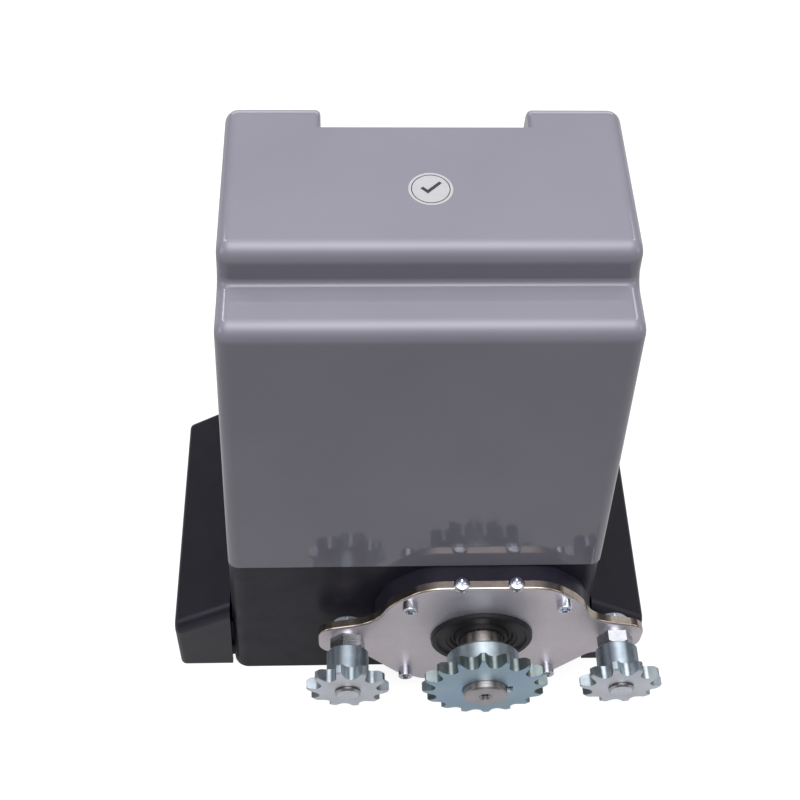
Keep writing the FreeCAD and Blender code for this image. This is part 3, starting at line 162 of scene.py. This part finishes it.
class Look:
    """One procedural finish: a Principled shader and the few texture nodes that feed it."""

    def __init__(self, name, colour, roughness, metallic=0.0, **constants):
        self.material = bpy.data.materials.new(name)
        self.material.use_nodes = True
        self.tree = self.material.node_tree
        self.shader = self.tree.nodes["Principled BSDF"]
        self.shader.inputs["Base Color"].default_value = (*colour, 1.0)
        self.shader.inputs["Roughness"].default_value = roughness
        self.shader.inputs["Metallic"].default_value = metallic
        for socket, value in constants.items():
            self.shader.inputs[socket.replace("_", " ")].default_value = value
        self.colour = colour
        self.roughness = roughness
        self.place = self.tree.nodes.new("ShaderNodeTexCoord").outputs["Object"]

    def add(self, kind, **settings):
        """A node of that kind, with its properties set."""
        node = self.tree.nodes.new("ShaderNode" + kind)
        for key, value in settings.items():
            setattr(node, key, value)
        return node

    def noise(self, size, detail=2.0, source=None):
        """Noise from 0 to 1 whose blotches are about size metres across."""
        node = self.add("TexNoise")
        node.inputs["Scale"].default_value = 1.0 / size
        node.inputs["Detail"].default_value = detail
        self.tree.links.new(source or self.place, node.inputs["Vector"])
        return node.outputs["Fac"]

    def axis(self, letter):
        """One coordinate of the place."""
        node = self.add("SeparateXYZ")
        self.tree.links.new(self.place, node.inputs["Vector"])
        return node.outputs[letter]

    def from_line(self, first, first_value, second, second_value):
        """Distance from the line where those two coordinates have those values."""
        total = 0.0
        for letter, value in ((first, first_value), (second, second_value)):
            step = self.math("SUBTRACT", self.axis(letter), value)
            total = self.math("ADD", self.math("MULTIPLY", step, step), total)
        return self.math("SQRT", total, 0.0)

    def combine(self, *parts):
        """A vector of three outputs or numbers."""
        node = self.add("CombineXYZ")
        for socket, part in zip(node.inputs, parts):
            self.put(part, socket)
        return node.outputs["Vector"]

    def faces_y(self):
        """1 where the surface looks along Y, 0 where it looks across."""
        geometry = self.add("NewGeometry")
        split = self.add("SeparateXYZ")
        self.tree.links.new(geometry.outputs["Normal"], split.inputs["Vector"])
        return self.level(self.math("ABSOLUTE", split.outputs["Y"], 0.0), 0.0, 1.0, 0.6, 0.95)

    def put(self, value, socket):
        """Links an output to a socket, or sets the socket to a number or colour."""
        if isinstance(value, tuple):
            socket.default_value = (*value, 1.0)
        elif isinstance(value, (int, float)):
            socket.default_value = value
        else:
            self.tree.links.new(value, socket)

    def ramp(self, factor, low, high, start=0.35, end=0.65):
        """A colour that goes from low to high as the factor goes from start to end."""
        node = self.add("ValToRGB")
        for element, place, colour in zip(node.color_ramp.elements, (start, end), (low, high)):
            element.position = place
            element.color = (*colour, 1.0)
        self.tree.links.new(factor, node.inputs["Fac"])
        return node.outputs["Color"]

    def level(self, factor, low, high, start=0.3, end=0.7):
        """A number that goes from low to high as the factor goes from start to end."""
        node = self.add("MapRange")
        values = (start, end, low, high)
        for socket, value in zip(("From Min", "From Max", "To Min", "To Max"), values):
            node.inputs[socket].default_value = value
        self.tree.links.new(factor, node.inputs["Value"])
        return node.outputs["Result"]

    def math(self, operation, a, b):
        """Arithmetic on two outputs or numbers."""
        node = self.add("Math", operation=operation)
        for socket, value in zip(node.inputs, (a, b)):
            self.put(value, socket)
        return node.outputs[0]

    def mix(self, factor, a, b, blend="MIX"):
        """Colour a where the factor is 0, and where it is 1 colour b, or a blended with b."""
        node = self.add("Mix", data_type="RGBA", blend_type=blend)
        for socket, value in zip((node.inputs["Factor"], node.inputs[6], node.inputs[7]), (factor, a, b)):
            self.put(value, socket)
        return node.outputs[2]

    def feed(self, socket, output):
        """Sends an output to the shader."""
        self.tree.links.new(output, self.shader.inputs[socket])

    def vary_colour(self, factor, amount):
        """Makes the base colour darker and lighter by amount, following the factor."""
        low = tuple(c * (1.0 - amount) for c in self.colour)
        high = tuple(min(1.0, c * (1.0 + amount)) for c in self.colour)
        self.feed("Base Color", self.ramp(factor, low, high))

    def vary_roughness(self, factor, amount):
        """Makes the roughness lower and higher by amount, following the factor."""
        self.feed("Roughness", self.level(factor, self.roughness - amount, self.roughness + amount))

    def bump(self, height, depth):
        """Raises the surface by depth metres where the height is 1."""
        node = self.add("Bump")
        node.inputs["Distance"].default_value = depth
        node.inputs["Strength"].default_value = 1.0
        self.tree.links.new(height, node.inputs["Height"])
        self.feed("Normal", node.outputs["Normal"])


def cover_plastic():
    """Glossy grey moulded plastic: faint cloudiness, an orange peel and a few rubbed patches."""
    look = Look("cover_plastic", (0.195, 0.190, 0.228), 0.06, Specular_IOR_Level=0.45,
                Specular_Tint=(0.93, 0.87, 1.0, 1.0))
    look.vary_colour(look.noise(0.06, 3.0), 0.03)
    look.vary_roughness(look.noise(0.03, 4.0), 0.04)
    look.bump(look.noise(0.005, 1.0), 0.00001)
    return look.material


def powder_coat():
    """Satin black powder coat over the cast base, with its fine dimpled grain."""
    look = Look("powder_coat", (0.0170, 0.0155, 0.0245), 0.36, Specular_IOR_Level=0.17,
                Specular_Tint=(0.94, 0.90, 1.0, 1.0))
    look.vary_colour(look.noise(0.02, 3.0), 0.12)
    look.vary_roughness(look.noise(0.012, 3.0), 0.05)
    look.bump(look.noise(0.0012, 2.0), 0.00003)
    return look.material


def foot_plastic():
    """Black moulded plastic, a little glossier than the base."""
    look = Look("foot_plastic", (0.0082, 0.0077, 0.0100), 0.38, Specular_IOR_Level=0.46,
                Specular_Tint=(0.80, 0.75, 1.0, 1.0))
    look.vary_colour(look.noise(0.015, 3.0), 0.10)
    look.vary_roughness(look.noise(0.02, 2.0), 0.02)
    look.bump(look.noise(0.0016, 2.0), 0.00002)
    return look.material


def metal(name, colour, roughness, warm=None, edge=None, turned_at=None, flank=None, edge_roughness=None):
    """A metal with cloudy colour and fine tool marks.

    warm is the colour of its warmer clouds. edge and edge_roughness are those of faces that don't look
    along Y, and the edge colour is painted shade and reflection on those faces, partly their own duller
    finish.
    turned_at is the (x, z) of the axis that it was turned about, and flank is the radius and the colour of
    cut teeth around that axis, a colour of painted shade and reflection.
    """
    look = Look(name, colour, roughness, 1.0)
    warm = warm or tuple(c * 0.95 for c in colour)
    clouds = look.ramp(look.noise(0.015, 4.0), colour, warm)
    if turned_at:
        from_axis = look.from_line("X", turned_at[0], "Z", turned_at[1])
    # Painted shade and reflection: faces across Y and the cut tooth flanks get their own colour from the
    # way they face.
    if flank:
        radius, flank_painted_shade = flank
        edge = look.mix(look.level(from_axis, 0.0, 1.0, radius, radius + 0.001), edge, flank_painted_shade)
    if edge:
        patches = look.ramp(look.noise(0.005, 3.0), (0.84, 0.85, 0.87), (1.0, 1.0, 1.0), 0.4, 0.6)
        clouds = look.mix(look.faces_y(), look.mix(1.0, edge, patches, "MULTIPLY"), clouds)
    look.feed("Base Color", clouds)
    if turned_at:
        look.shader.inputs["Anisotropic"].default_value = 0.85
        look.shader.inputs["Anisotropic Rotation"].default_value = 0.25
        tangent = look.add("Tangent", direction_type="RADIAL", axis="Y")
        look.feed("Tangent", tangent.outputs["Tangent"])
        marks = look.noise(0.0005, 2.0, source=look.combine(from_axis, look.axis("Y"), 0.0))
        look.bump(marks, 0.0000006)
    else:
        marks = look.noise(0.0014, 3.0)
        look.bump(marks, 0.000001)
    uneven = look.level(marks, roughness * 0.85, roughness * 1.15)
    if edge_roughness:
        share = look.level(look.faces_y(), edge_roughness / roughness, 1.0, 0.0, 1.0)
        uneven = look.math("MULTIPLY", uneven, share)
    look.feed("Roughness", uneven)
    return look.material


def plain(name, colour, roughness, size=0.004, amount=0.08, shine=0.5):
    """A moulded or coated surface with a light mottle."""
    look = Look(name, colour, roughness, Specular_IOR_Level=shine)
    look.vary_colour(look.noise(size, 3.0), amount)
    look.vary_roughness(look.noise(size * 0.5, 3.0), roughness * 0.12)
    look.bump(look.noise(size * 0.15, 2.0), size * 0.004)
    return look.material


def laminated(name, colour, roughness):
    """A stack of thin steel sheets, seen as fine level lines."""
    look = Look(name, colour, roughness, 1.0)
    sheets = look.noise(0.0005, 1.0, source=look.combine(0.0, 0.0, look.axis("Z")))
    look.vary_colour(sheets, 0.25)
    look.vary_roughness(look.noise(0.004, 3.0), 0.08)
    look.bump(sheets, 0.00004)
    return look.material


def wound_copper(name, x, y):
    """Varnished wire wound around the upright line through that x and y."""
    look = Look(name, (0.58, 0.20, 0.07), 0.28, 0.85)
    radius = look.from_line("X", x, "Y", y)
    wires = look.noise(0.0009, 0.0, source=look.combine(radius, look.axis("Z"), 0.0))
    varnish = look.noise(0.006, 3.0)
    bare = look.ramp(wires, (0.36, 0.11, 0.04), look.colour)
    look.feed("Base Color", look.mix(varnish, (0.44, 0.13, 0.04), bare))
    look.vary_roughness(varnish, 0.08)
    look.bump(wires, 0.00025)
    return look.material


def transformer_look():
    """Laminated core, with yellow tape around the coil where it stands out on both sides."""
    look = Look("transformer_core", (0.30, 0.30, 0.31), 0.45)
    low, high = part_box("transformer")
    middle = (low.x + high.x) / 2 + 0.00125
    beside = look.math("ABSOLUTE", look.math("SUBTRACT", look.axis("X"), middle), 0.0)
    coil = look.level(beside, 0.0, 1.0, 0.01705, 0.0171)
    sheets = look.noise(0.0005, 1.0, source=look.combine(0.0, look.axis("Y"), 0.0))
    steel = look.ramp(sheets, (0.16, 0.16, 0.17), (0.42, 0.42, 0.43))
    tape = look.ramp(look.noise(0.003, 3.0), (0.62, 0.40, 0.03), (0.78, 0.56, 0.08))
    look.feed("Base Color", look.mix(coil, steel, tape))
    look.feed("Metallic", look.level(coil, 1.0, 0.0, 0.0, 1.0))
    look.bump(sheets, 0.00003)
    return look.material


def capacitor_look():
    """White capacitor can with a blue printed band, and tinned blade terminals on top."""
    look = Look("capacitor_can", (0.62, 0.62, 0.60), 0.32)
    low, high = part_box("run_capacitor")
    height = look.axis("Z")
    band = look.math("MULTIPLY", look.math("GREATER_THAN", height, low.z + 0.022),
                     look.math("LESS_THAN", height, low.z + 0.060))
    blade = look.math("GREATER_THAN", height, high.z - 0.0099)
    clouds = look.noise(0.006, 3.0)
    can = look.mix(band, look.ramp(clouds, (0.58, 0.58, 0.56), (0.66, 0.66, 0.64)),
                   look.ramp(clouds, (0.02, 0.06, 0.24), (0.03, 0.08, 0.30)))
    look.feed("Base Color", look.mix(blade, can, (0.70, 0.69, 0.66)))
    look.feed("Metallic", blade)
    look.vary_roughness(clouds, 0.05)
    look.bump(look.noise(0.001, 2.0), 0.00002)
    return look.material


def sensor_look():
    """Black sensor case on a zinc plated bracket."""
    look = Look("sensor_case", (0.020, 0.020, 0.022), 0.38)
    low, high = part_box("limit_sensor")
    case = look.math("MULTIPLY", look.math("GREATER_THAN", look.axis("Y"), low.y + 0.00165),
                     look.math("GREATER_THAN", look.axis("Z"), low.z + 0.0170))
    clouds = look.noise(0.004, 3.0)
    look.feed("Base Color", look.mix(case, look.ramp(clouds, (0.50, 0.51, 0.53), (0.60, 0.61, 0.62)),
                                     look.ramp(clouds, (0.016, 0.016, 0.018), (0.026, 0.026, 0.028))))
    look.feed("Metallic", look.level(case, 1.0, 0.0, 0.0, 1.0))
    look.vary_roughness(clouds, 0.05)
    return look.material


def board_look():
    """Green solder resist over a grid of copper tracks, with tinned pads."""
    look = Look("board_resist", (0.008, 0.075, 0.025), 0.28)
    flat = look.combine(look.axis("Y"), look.axis("Z"), 0.0)
    tracks = look.add("TexBrick", offset=0.37, squash=0.6)
    for socket, value in (("Scale", 55.0), ("Mortar Size", 0.045), ("Mortar Smooth", 0.2),
                          ("Brick Width", 0.9), ("Row Height", 0.22)):
        tracks.inputs[socket].default_value = value
    look.tree.links.new(flat, tracks.inputs["Vector"])
    dots = look.add("TexVoronoi")
    dots.inputs["Scale"].default_value = 240.0
    look.tree.links.new(flat, dots.inputs["Vector"])
    pad = look.math("LESS_THAN", dots.outputs["Distance"], 0.13)
    green = look.mix(tracks.outputs["Fac"], look.colour, (0.02, 0.17, 0.06))
    look.feed("Base Color", look.mix(pad, green, (0.62, 0.61, 0.58)))
    look.feed("Metallic", pad)
    look.bump(tracks.outputs["Fac"], 0.00004)
    return look.material


def assign(material, *names):
    """Gives these CAD nodes that material."""
    for name in names:
        for place in NODES[name].material_slots:
            place.material = material


def axis_of(node):
    """The x and z of the middle of a round CAD node."""
    low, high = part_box(node)
    return (low.x + high.x) / 2, (low.z + high.z) / 2


def finish_nodes():
    """A procedural finish on every CAD node."""
    zinc = (0.72, 0.75, 0.84)
    zinc_warm = (0.66, 0.68, 0.73)
    assign(cover_plastic(), "cover")
    assign(powder_coat(), "gear_housing")
    assign(foot_plastic(), "left_foot_cover", "right_foot_cover")
    # The plate's edge colour is painted shade and reflection on its cut sides, partly their own duller
    # finish.
    assign(metal("nickel_plate", (0.73, 0.68, 0.725), 0.50, edge=(0.52, 0.44, 0.375), edge_roughness=0.22),
           "chain_plate")
    assign(metal("bright_zinc", zinc, 0.22, zinc_warm),
           "plate_screws", "limit_bracket_screws", "idler_washers", "cover_screws")
    assign(metal("dull_zinc", (0.52, 0.58, 0.66), 0.55, (0.46, 0.50, 0.56)), "idler_nuts")
    # The edge and flank colours of the idlers and axles are painted shade and reflection on faces across Y.
    for side in ("left", "right"):
        sprocket = side + "_idler_sprocket"
        axle = side + "_idler_axle"
        assign(metal(sprocket + "_zinc", zinc, 0.32, zinc_warm, (0.31, 0.36, 0.41), axis_of(sprocket),
                     (0.015, (0.40, 0.45, 0.49)), 0.42), sprocket)
        assign(metal(axle + "_zinc", zinc, 0.26, zinc_warm, (0.24, 0.22, 0.215), axis_of(axle),
                     (0.0077, (0.36, 0.37, 0.39))), axle)
    # The edge and flank colours of the drive sprocket and shaft are painted shade and reflection on faces
    # across Y.
    assign(metal("blue_zinc", (0.35, 0.49, 0.64), 0.34, (0.40, 0.53, 0.61), (0.42, 0.49, 0.53),
                 axis_of("drive_sprocket"), (0.0265, (0.23, 0.275, 0.275)), 0.42), "drive_sprocket")
    assign(metal("ground_shaft", (0.48, 0.46, 0.50), 0.30, (0.44, 0.42, 0.44), (0.42, 0.38, 0.36),
                 axis_of("output_shaft")), "output_shaft")
    assign(metal("ground_steel", (0.50, 0.49, 0.49), 0.2),
           "motor_shaft", "output_front_bearing", "output_rear_bearing",
           "worm_tip_bearing", "motor_lower_bearing", "motor_upper_bearing")
    assign(metal("machined_steel", (0.52, 0.52, 0.53), 0.3),
           "clutch_dog", "clutch_key", "clutch_spring", "release_crank",
           "shift_fork", "spacer_sleeve", "motor_bolts", "lid_screws", "levelling_screws")
    assign(plain("black_paint", (0.014, 0.014, 0.017), 0.34, shine=0.22), "seal_retainer")
    assign(metal("black_oxide", (0.05, 0.05, 0.055), 0.38), "sprocket_set_screw", "sprocket_key")
    assign(plain("nitrile", (0.010, 0.010, 0.012), 0.45, shine=0.25),
           "oil_seal", "worm_seal", "cable_grommet")
    assign(metal("cast_aluminium", (0.50, 0.50, 0.51), 0.46),
           "housing_lid", "motor_lower_endbell", "motor_upper_endbell")
    assign(metal("bronze", (0.72, 0.50, 0.26), 0.3), "worm_wheel", "wheel_bush",
           "left_idler_bush", "right_idler_bush")
    assign(laminated("laminations", (0.36, 0.35, 0.34), 0.42), "stator_core", "rotor")
    motor_low, motor_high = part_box("stator_windings")
    motor = (motor_low + motor_high) / 2
    assign(wound_copper("varnished_copper", motor.x, motor.y), "stator_windings")
    assign(metal("sheet_steel", (0.56, 0.56, 0.57), 0.33), "board_bracket", "capacitor_clamp")
    assign(transformer_look(), "transformer")
    assign(plain("gasket_paper", (0.16, 0.12, 0.08), 0.8), "lid_gasket")
    assign(plain("lever_plastic", (0.35, 0.02, 0.015), 0.35), "release_lever")
    assign(metal("lock_barrel", (0.76, 0.75, 0.70), 0.25), "key_lock")
    assign(board_look(), "control_board")
    assign(plain("relay_case", (0.02, 0.09, 0.30), 0.35), "board_relays")
    assign(plain("terminal_plastic", (0.03, 0.25, 0.08), 0.4), "terminal_blocks")
    assign(capacitor_look(), "run_capacitor")
    assign(plain("small_capacitor_sleeve", (0.02, 0.02, 0.035), 0.35), "board_capacitors")
    assign(sensor_look(), "limit_sensor")
    assign(plain("sticker_paper", (0.375, 0.37, 0.39), 0.35, 0.002, 0.03), "inspection_sticker")


# ---------------------------------------------------------------- detail that the CAD leaves out


def add_piece(name, shape, material, body):
    """Turns a bmesh into a piece that rides on a body."""
    mesh = bpy.data.meshes.new(name)
    shape.to_mesh(mesh)
    shape.free()
    piece = bpy.data.objects.new(name, mesh)
    bpy.context.scene.collection.objects.link(piece)
    mesh.materials.append(material)
    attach(piece, body)
    return piece


def add_sticker_print():
    """A printed ring and a tick on the inspection sticker."""
    low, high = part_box("inspection_sticker")
    centre = (low + high) / 2
    height = high.z + 0.00002
    shape = bmesh.new()
    steps = 96
    rims = []
    for radius in (0.00835, 0.0088):
        rims.append([shape.verts.new((centre.x + radius * math.cos(2 * math.pi * i / steps),
                                      centre.y + radius * math.sin(2 * math.pi * i / steps), height))
                     for i in range(steps)])
    for i in range(steps):
        j = (i + 1) % steps
        shape.faces.new((rims[0][i], rims[1][i], rims[1][j], rims[0][j]))
    tick = [(-4.6, 0.3), (-3.4, 1.4), (-1.4, -0.6), (4.0, 4.6), (5.1, 3.5), (-1.3, -2.9)]
    shape.faces.new([shape.verts.new((centre.x + x / 1000, centre.y + y / 1000, height)) for x, y in tick])
    ink = plain("printing_ink", (0.02, 0.02, 0.025), 0.4, 0.001)
    add_piece("sticker_print", shape, ink, "cover")


def add_block(shape, low, high, bevel):
    """Adds a box with softened edges to a bmesh."""
    made = bmesh.ops.create_cube(shape, size=1.0)
    size = Vector(high) - Vector(low)
    bmesh.ops.scale(shape, vec=size, verts=made["verts"])
    bmesh.ops.translate(shape, vec=(Vector(low) + Vector(high)) / 2, verts=made["verts"])
    edges = list(dict.fromkeys(edge for vert in made["verts"] for edge in vert.link_edges))
    bmesh.ops.bevel(shape, geom=edges, offset=bevel, segments=2, affect="EDGES", profile=0.5)


def add_turned(shape, place, profile, along_x=True, steps=24):
    """Adds a solid turned about a line through place.

    The profile is (radius, distance) pairs, and its first and last radius are 0.
    """
    rows = []
    for radius, distance in profile:
        row = []
        for i in range(1 if radius == 0 else steps):
            angle = 2 * math.pi * i / steps
            across = Vector((0.0, math.cos(angle), math.sin(angle))) * radius
            spot = Vector((distance, 0.0, 0.0)) + across
            if not along_x:
                spot = Vector((spot.y, spot.x, spot.z))
            row.append(shape.verts.new(Vector(place) + spot))
        rows.append(row)
    for before, after in zip(rows, rows[1:]):
        for i in range(steps):
            corners = [before[i % len(before)], before[(i + 1) % len(before)],
                       after[(i + 1) % len(after)], after[i % len(after)]]
            shape.faces.new(list(dict.fromkeys(corners)))
    bmesh.ops.recalc_face_normals(shape, faces=shape.faces[:])


def add_board_parts():
    """Chips, resistors, a fuse, lamps and terminal screws on the component side of the control board."""
    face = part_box("control_board")[0].x
    chips = bmesh.new()
    legs = bmesh.new()
    for y, z, wide, tall in ((0.016, 0.224, 0.020, 0.0076), (0.022, 0.245, 0.0098, 0.0064),
                             (-0.046, 0.181, 0.0098, 0.0064), (0.026, 0.187, 0.012, 0.012)):
        add_block(chips, (face - 0.0040, y - wide / 2, z - tall / 2),
                  (face - 0.0006, y + wide / 2, z + tall / 2), 0.0003)
        count = int(wide / 0.00254)
        for i in range(count):
            leg = y + (i - (count - 1) / 2) * 0.00254
            for side in (-1, 1):
                edge = z + side * (tall / 2 + 0.0006)
                add_block(legs, (face - 0.0024, leg - 0.00035, edge - 0.0005),
                          (face - 0.0001, leg + 0.00035, edge + 0.0005), 0.0001)
    add_piece("board_chips", chips, plain("chip_epoxy", (0.018, 0.018, 0.019), 0.45, 0.002), "housing")

    resistors = bmesh.new()
    body = [(0, -0.0034), (0.0009, -0.0034), (0.0013, -0.0028), (0.0010, -0.0016), (0.0010, 0.0016),
            (0.0013, 0.0028), (0.0009, 0.0034), (0, 0.0034)]
    for y, z in ((-0.050, 0.252), (-0.050, 0.246), (0.036, 0.232), (0.036, 0.226), (0.002, 0.182),
                 (0.002, 0.176), (-0.028, 0.182), (-0.028, 0.176), (0.034, 0.206), (0.034, 0.200)):
        add_turned(resistors, (face - 0.0015, y, z), body, along_x=False, steps=14)
        for side in (-1, 1):
            add_block(legs, (face - 0.0018, y + side * 0.0046 - 0.0012, z - 0.0003),
                      (face - 0.0001, y + side * 0.0046 + 0.0012, z + 0.0003), 0.0001)
    coat = plain("resistor_coat", (0.52, 0.36, 0.20), 0.4, 0.0008, 0.3)
    add_piece("board_resistors", resistors, coat, "housing")

    fuse = bmesh.new()
    tube = [(0, -0.0099), (0.0026, -0.0099), (0.0026, -0.0045), (0.0023, -0.0043), (0.0023, 0.0043),
            (0.0026, 0.0045), (0.0026, 0.0099), (0, 0.0099)]
    add_turned(fuse, (face - 0.0036, 0.030, 0.171), tube, along_x=False)
    for side in (-1, 1):
        clip = 0.030 + side * 0.0072
        for bottom, top in ((0.1678, 0.1686), (0.1734, 0.1742)):
            add_block(fuse, (face - 0.0052, clip - 0.0020, bottom),
                      (face - 0.0001, clip + 0.0020, top), 0.0002)
    add_piece("board_fuse", fuse, metal("fuse_caps", (0.66, 0.65, 0.62), 0.25), "housing")

    dome = [(0, 0), (0.0019, 0), (0.0019, -0.0008), (0.0015, -0.0009), (0.0015, -0.0035), (0.0011, -0.0045),
            (0, -0.0050)]
    for name, colour, y in (("power_lamp", (0.02, 0.35, 0.05), 0.006),
                            ("fault_lamp", (0.45, 0.02, 0.02), 0.013)):
        lamp = bmesh.new()
        add_turned(lamp, (face - 0.0001, y, 0.253), dome)
        add_piece(name, lamp, plain(name, colour, 0.15, 0.001), "housing")

    screws = bmesh.new()
    head = [(0, 0.0006), (0.00165, 0.0006), (0.00165, -0.0004), (0.0014, -0.0006), (0, -0.0006)]
    for block in (-0.052, -0.004):
        for i in range(8):
            place = (face - 0.0070, block + 0.0030 + 0.0054 * i, 0.158)
            add_turned(screws, place, head, steps=18)
            add_block(screws, (place[0] - 0.0009, place[1] - 0.0014, 0.1577),
                      (place[0] - 0.0005, place[1] + 0.0014, 0.1583), 0.0001)
    add_piece("terminal_screws", screws, metal("terminal_zinc", (0.60, 0.60, 0.58), 0.3), "housing")

    tops = bmesh.new()
    rolled = [(0, 0.0002), (0.0057, 0.0002), (0.0059, -0.0001), (0.0055, -0.0003), (0, -0.0003)]
    dimple = [(0, 0), (0.0007, 0), (0.0005, -0.0006), (0, -0.0007)]
    for y in (-0.038, -0.018):
        end = Vector((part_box("board_capacitors")[0].x, y, 0.236))
        add_turned(tops, end, rolled)
        for turn in (0.5, 2.6, 4.7):
            aside = Vector((0.0, math.cos(turn), math.sin(turn))) * 0.0028
            add_turned(tops, end + aside, dimple, steps=10)
    add_piece("capacitor_tops", tops, metal("can_aluminium", (0.62, 0.62, 0.63), 0.3), "housing")
    add_piece("board_legs", legs, metal("tinned_wire", (0.62, 0.61, 0.58), 0.28), "housing")


def add_relay_marks():
    """A pale printed outline on each relay."""
    low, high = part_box("board_relays")
    marks = bmesh.new()
    front = low.x - 0.00003
    for y in (-0.050, -0.027, -0.004):
        rims = []
        for inset in (0.0015, 0.0019):
            left, right = y + inset, y + 0.0190 - inset
            bottom, top = low.z + inset, high.z - inset
            corners = ((left, bottom), (right, bottom), (right, top), (left, top))
            rims.append([marks.verts.new((front, u, w)) for u, w in corners])
        for i in range(4):
            j = (i + 1) % 4
            marks.faces.new((rims[0][i], rims[0][j], rims[1][j], rims[1][i]))
    add_piece("relay_marks", marks, plain("pale_ink", (0.55, 0.58, 0.62), 0.5, 0.001), "housing")


add_studio()
finish_nodes()
add_sticker_print()
add_board_parts()
add_relay_marks()
